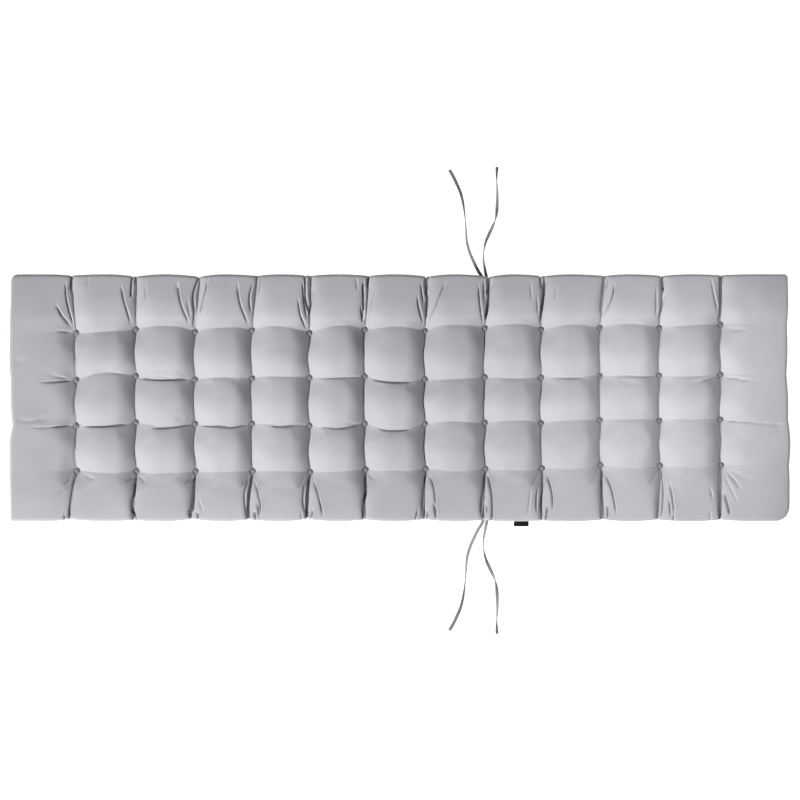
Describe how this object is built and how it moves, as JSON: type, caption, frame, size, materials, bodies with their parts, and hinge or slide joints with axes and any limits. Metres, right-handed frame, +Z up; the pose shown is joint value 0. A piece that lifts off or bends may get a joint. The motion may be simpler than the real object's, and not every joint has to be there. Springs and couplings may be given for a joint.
{
  "type": "sun lounger cushion",
  "caption": "Long button-tufted sun lounger cushion with a crowned, quilted top, a sewn side seam, tie tapes on both long edges and a blank side label.",
  "frame": {"origin": "middle of the underside, on the surface that the cushion lies on", "axes": "+X along the cushion's length, towards the end nearer the ties, +Y across it, away from the label's edge, +Z up out of the tufted face"},
  "size_m": [1.9, 1.1454, 0.08],
  "materials": {
    "shell": "smooth brushed microfibre cloth, pale grey with a cool tint, matt with a faint sheen",
    "button": "buttons covered in the cushion's cloth",
    "tape": "flat woven tape, mid grey, matt",
    "label": "woven label, black, blank"
  },
  "bodies": {
    "root": {"cushion": "shell", "button_r1_c01": "button", "button_r1_c02": "button", "button_r1_c03": "button", "button_r1_c04": "button", "button_r1_c05": "button", "button_r1_c06": "button", "button_r1_c07": "button", "button_r1_c08": "button", "button_r1_c09": "button", "button_r1_c10": "button", "button_r1_c11": "button", "button_r1_c12": "button", "button_r2_c01": "button", "button_r2_c02": "button", "button_r2_c03": "button", "button_r2_c04": "button", "button_r2_c05": "button", "button_r2_c06": "button", "button_r2_c07": "button", "button_r2_c08": "button", "button_r2_c09": "button", "button_r2_c10": "button", "button_r2_c11": "button", "button_r2_c12": "button", "button_r3_c01": "button", "button_r3_c02": "button", "button_r3_c03": "button", "button_r3_c04": "button", "button_r3_c05": "button", "button_r3_c06": "button", "button_r3_c07": "button", "button_r3_c08": "button", "button_r3_c09": "button", "button_r3_c10": "button", "button_r3_c11": "button", "button_r3_c12": "button", "button_r4_c01": "button", "button_r4_c02": "button", "button_r4_c03": "button", "button_r4_c04": "button", "button_r4_c05": "button", "button_r4_c06": "button", "button_r4_c07": "button", "button_r4_c08": "button", "button_r4_c09": "button", "button_r4_c10": "button", "button_r4_c11": "button", "button_r4_c12": "button", "tie_far_low": "tape", "tie_far_high": "tape", "tie_near_low": "tape", "tie_near_high": "tape", "label": "label"}
  },
  "joints": []
}
